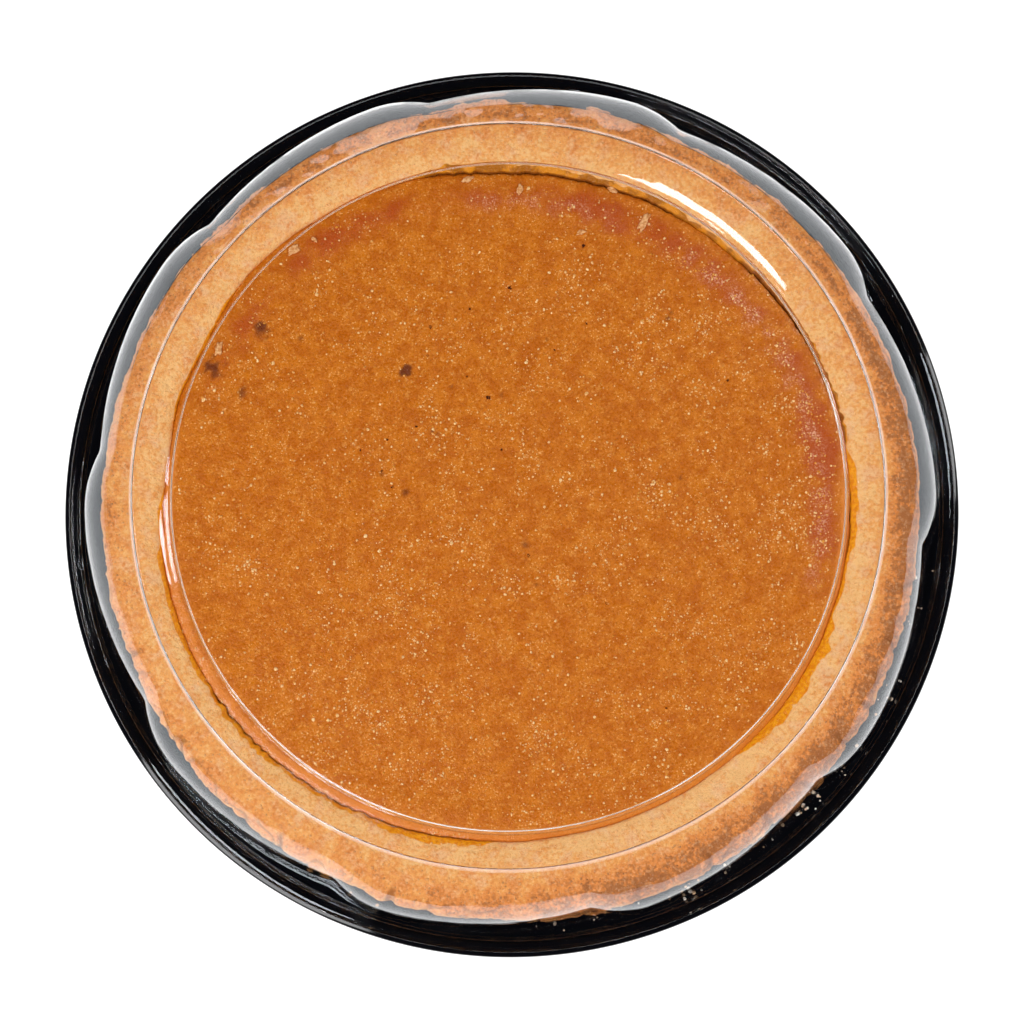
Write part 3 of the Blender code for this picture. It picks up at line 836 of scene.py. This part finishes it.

# ---- Bubbles -------------------------------------------------------------------------------
# Small air bubbles that set in the custard's skin as it baked: low, shiny, uneven domes, pale
# where the skin is thin and palest as painted glints. They crowd towards the middle and one side.
def scattering_tree():
    """Scatters lumpy, flattened grains over a surface, more of them where its weight is high."""
    tree, given, result = new_tree("scattered_grains", {
        "Density": "Float", "Seed": "Int", "Smallest": "Float", "Largest": "Float",
        "Flatness": "Float", "Tumble": "Float", "Facets": "Int", "Lumpiness": "Float",
        "Material": "Material",
    })
    weight = put(tree, "GeometryNodeInputNamedAttribute", {"Name": "weight"}, data_type="FLOAT")
    points = put(tree, "GeometryNodeDistributePointsOnFaces", {
        "Mesh": given["Geometry"], "Seed": given["Seed"],
        "Density": calc(tree, "MULTIPLY", given["Density"], weight.outputs[0])})

    def chance(low, high, step, vector=False):
        seed = calc(tree, "ADD", given["Seed"], step)
        if vector:
            return put(tree, "FunctionNodeRandomValue", {0: low, 1: high, "Seed": seed},
                       data_type="FLOAT_VECTOR").outputs[0]
        return put(tree, "FunctionNodeRandomValue", {2: low, 3: high, "Seed": seed},
                   data_type="FLOAT").outputs[1]

    share = calc(tree, "POWER", chance(0.0, 1.0, 1), 3.0)
    size = calc(tree, "MULTIPLY_ADD", share, calc(
        tree, "SUBTRACT", given["Largest"], given["Smallest"]), given["Smallest"])
    stretch = calc(tree, "MULTIPLY", size, chance(0.7, 1.3, 2))
    scale = put(tree, "ShaderNodeCombineXYZ", {
        "X": size, "Y": stretch, "Z": calc(tree, "MULTIPLY", size, given["Flatness"])}).outputs[0]
    tumble = put(tree, "ShaderNodeCombineXYZ", {
        "X": given["Tumble"], "Y": given["Tumble"], "Z": math.pi}).outputs[0]
    lean = put(tree, "ShaderNodeVectorMath", {
        0: chance((-1.0, -1.0, -1.0), (1.0, 1.0, 1.0), 3, True), 1: tumble},
        operation="MULTIPLY").outputs[0]
    turned = put(tree, "FunctionNodeRotateRotation", {
        0: points.outputs["Rotation"], 1: lean}, rotation_space="LOCAL").outputs[0]
    ball = put(tree, "GeometryNodeMeshIcoSphere", {"Radius": 1.0, "Subdivisions": given["Facets"]})
    placed = put(tree, "GeometryNodeInstanceOnPoints", {
        "Points": points.outputs["Points"], "Instance": ball.outputs["Mesh"],
        "Rotation": turned, "Scale": scale}).outputs[0]
    toned = put(tree, "GeometryNodeStoreNamedAttribute", {
        "Geometry": placed, "Name": "tone", "Value": chance(0.0, 1.0, 4)},
        data_type="FLOAT", domain="INSTANCE").outputs[0]
    real = put(tree, "GeometryNodeRealizeInstances", {0: toned}).outputs[0]
    dents = put(tree, "ShaderNodeTexNoise", {"Scale": 1.1 / MM, "Detail": 1.0}).outputs["Color"]
    dents = put(tree, "ShaderNodeVectorMath", {0: dents, 1: (0.5, 0.5, 0.5)}, operation="SUBTRACT")
    dents = put(tree, "ShaderNodeVectorMath", {
        0: dents.outputs[0], "Scale": given["Lumpiness"]}, operation="SCALE").outputs[0]
    lumpy = put(tree, "GeometryNodeSetPosition", {"Geometry": real, "Offset": dents}).outputs[0]
    smooth = put(tree, "GeometryNodeSetShadeSmooth", {"Geometry": lumpy}).outputs[0]
    done = put(tree, "GeometryNodeSetMaterial", {"Geometry": smooth, "Material": given["Material"]})
    tree.links.new(done.outputs[0], result)
    return tree


scattered_grains = scattering_tree()


def scattered_piece(name, ground, mat, values):
    """A piece of grains scattered over a copy of a mesh; it rides the root."""
    source = bpy.data.objects.new(name, ground.copy())
    bpy.context.scene.collection.objects.link(source)
    piece = grown(name, source, scattered_grains, {"Material": mat, **values})
    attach(piece, "root")


bubble_skin_and_glint, tree, shader = new_material(
    "bubble_skin_and_glint", Roughness=0.16, Specular_IOR_Level=0.9, Coat_Weight=0.3, Coat_Roughness=0.06)
# The pale end of the colour is thin skin and, at its palest, painted highlight.
colour = blend(
    tree, span(tree, painted(tree, "tone"), 0.1, 0.9), (0.80, 0.32, 0.045), (0.99, 0.66, 0.30))
fleck = put(tree, "ShaderNodeTexNoise", {
    "Vector": put(tree, "ShaderNodeTexCoord").outputs["Object"], "Scale": 1.6 / MM}).outputs[0]
colour = blend(tree, span(tree, fleck, 0.52, 0.64, 0.0, 0.5), colour, (0.50, 0.12, 0.010))
tree.links.new(colour, shader.inputs["Base Color"])
scattered_piece("bubbles", filling.data, bubble_skin_and_glint, {
    "Density": 1.8e4, "Seed": 3, "Smallest": 0.32 * MM, "Largest": 0.75 * MM, "Flatness": 0.45,
    "Tumble": 0.3, "Facets": 2, "Lumpiness": 0.5 * MM})
scattered_piece("froth", filling.data, bubble_skin_and_glint, {
    "Density": 3.6e5, "Seed": 8, "Smallest": 0.24 * MM, "Largest": 0.62 * MM, "Flatness": 0.75,
    "Tumble": 0.6, "Facets": 1, "Lumpiness": 0.12 * MM})

# ---- Pits ----------------------------------------------------------------------------------
# Places where a larger bubble burst: a small open hollow with a ragged, slightly raised rim,
# brown at the rim and painted nearly black inside as the shade of the hollow.
def mounds(name, spots, profile, mat, ground, ragged):
    """Small closed patches on a surface, as one mesh, with a more or less ragged outline.

    A spot is (x, y, length, width, turn in degrees). A row of the profile is a share of the
    patch's radius, a height above the surface in millimetres and the row's "depth" value."""
    around = np.radians(np.arange(0.0, 360.0, 15.0))
    columns = len(around)
    verts, faces, depth = [], [], []
    for spot_x, spot_y, length, width, turned in spots:
        first, lean = len(verts), math.radians(turned)
        circle = [3.0 * np.cos(around), 3.0 * np.sin(around), 0.0 * around + spot_x]
        wave = 1.0 + ragged * lumps(np.stack(circle, axis=-1), 1.7, 5)
        for share, rise, value in profile:
            out_x = 0.5 * length * share * wave * np.cos(around)
            out_y = 0.5 * width * share * wave * np.sin(around)
            x = spot_x + out_x * math.cos(lean) - out_y * math.sin(lean)
            y = spot_y + out_x * math.sin(lean) + out_y * math.cos(lean)
            verts += np.stack([x, y, ground(x, y) + rise], axis=-1).tolist()
            depth += [value] * columns
        last = len(verts) - columns
        for row in range(first, last, columns):
            for k in range(columns):
                here, after = row + k, row + (k + 1) % columns
                faces.append((here, here + columns, after + columns, after))
        faces.append(list(range(first, first + columns)))
        faces.append(list(range(last, last + columns))[::-1])
    piece = new_piece(name, np.array(verts) * MM, faces, mat)
    piece.data.attributes.new("depth", "FLOAT", "POINT").data.foreach_set("value", depth)
    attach(piece, "root")


def on_custard(x, y):
    """Height of the custard's surface at places in millimetres, with its pits."""
    degrees = np.degrees(np.arctan2(x, y)) % 360.0
    edge = np.interp(degrees, round_pie, edge_round_pie, period=360.0)
    return pitted(custard_height(x, y, edge), x, y)


PIT_PROFILE = (  # share of the radius, height above the custard, depth
    (0.2, 0.06, 1.0), (0.6, 0.07, 1.0), (0.85, 0.12, 0.6), (1.0, 0.17, 0.1), (1.15, 0.10, 0.0),
    (1.3, -0.12, 0.0), (1.1, -0.5, 0.0), (0.2, -0.6, 0.0),
)
burst_skin_and_shade, tree, shader = new_material("burst_skin_and_shade", Roughness=0.7, Specular_IOR_Level=0.1)
# Painted shade: the pit darkens to nearly black towards its middle, by depth.
colour = blend(
    tree, span(tree, painted(tree, "depth"), 0.1, 0.7), (0.50, 0.12, 0.012), (0.045, 0.008, 0.003))
tree.links.new(colour, shader.inputs["Base Color"])
mounds("open_pits", [(x, y, 2.0 * size, 1.7 * size, 40.0 * x) for x, y, size in DARK_PITS],
       PIT_PROFILE, burst_skin_and_shade, on_custard, 0.9)

# ---- Flakes --------------------------------------------------------------------------------
# Thin pale flakes of pastry that broke off the rim and fell on the custard.
FLAKES = (  # place, length, width and direction of each flake
    (-16, 124, 5.0, 2.2, 20), (4, 120, 4.2, 2.6, 70), (39, 120, 4.0, 2.2, 140),
    (51, 107, 7.0, 2.8, 60), (27, 103, 3.4, 1.8, 15), (-82, 97, 5.5, 3.4, 35),
    (-110, 59, 5.0, 3.0, 80), (-74, 101, 3.0, 1.6, 130),
)
FLAKE_PROFILE = (  # as for the pits: a thin rounded slab
    (0.15, 0.75, 0.0), (0.55, 0.85, 0.0), (0.85, 0.65, 0.0), (1.0, 0.35, 0.0), (0.9, 0.1, 0.0),
    (0.2, 0.05, 0.0),
)
flake_pastry, tree, shader = new_material("flake_pastry", Roughness=0.7, Specular_IOR_Level=0.3)
grain = use_group(tree, sandy_grain, {"Grain Size": 0.5, "Patch Size": 1.0})
colour = blend(tree, span(tree, grain["Patch"], 0.38, 0.62), (0.62, 0.24, 0.07), (0.86, 0.47, 0.21))
tree.links.new(colour, shader.inputs["Base Color"])
bump(tree, shader, grain["Patch"], 0.4)
mounds("flakes", FLAKES, FLAKE_PROFILE, flake_pastry, on_custard, 0.6)

# ---- Crumbs --------------------------------------------------------------------------------
# Grains of pastry: a sandy scatter over the whole rim, and loose crumbs shaken down into the
# tray's channel, most of them at the front right.
CRUMB_ARCS = (  # arcs of the channel with crumbs, and how many
    (135, 138, 1.0), (143, 146, 0.8), (148, 151, 1.0), (153, 157, 0.7), (160, 164, 0.8),
    (124, 132, 0.25), (168, 178, 0.2), (352, 358, 0.25), (99, 104, 0.2),
)
CRUMB_RADII, CRUMB_HEIGHT = (152.5, 155.0, 158.0, 160.8), 25.1  # ground of the loose crumbs
crumb_pastry, tree, shader = new_material("crumb_pastry", Roughness=0.85, Specular_IOR_Level=0.2)
colour = blend(
    tree, span(tree, painted(tree, "bake"), 0.1, 0.85), (0.92, 0.47, 0.18), (0.46, 0.165, 0.055))
colour = blend(tree, span(tree, painted(tree, "tone"), 0.3, 1.0, 0.0, 0.15), colour, (0.96, 0.60, 0.32))
tree.links.new(colour, shader.inputs["Base Color"])
scattered_piece("sandy_crumbs", crust.data, crumb_pastry, {
    "Density": 2.4e5, "Seed": 5, "Smallest": 0.22 * MM, "Largest": 0.6 * MM, "Flatness": 0.7,
    "Tumble": 1.0, "Facets": 1, "Lumpiness": 0.2 * MM})
loose_pastry, tree, shader = new_material("loose_pastry", Roughness=0.8, Specular_IOR_Level=0.2)
colour = blend(tree, span(tree, painted(tree, "tone"), 0.0, 1.0), (0.80, 0.50, 0.28), (0.98, 0.90, 0.78))
tree.links.new(colour, shader.inputs["Base Color"])
strip = np.arange(0.0, 360.0, 1.0)
bands = [ring_points(strip, radius) + (0.0, 0.0, CRUMB_HEIGHT) for radius in CRUMB_RADII]
ground = solid("channel_ground", bands, loose_pastry, {
    "weight": np.tile(along(strip, CRUMB_ARCS, 1.5), (len(bands), 1))})
scattered_piece("loose_crumbs", ground.data, loose_pastry, {
    "Density": 8.0e4, "Seed": 11, "Smallest": 0.3 * MM, "Largest": 0.9 * MM, "Flatness": 0.3,
    "Tumble": 0.1, "Facets": 2, "Lumpiness": 0.25 * MM})
bpy.data.objects.remove(ground)
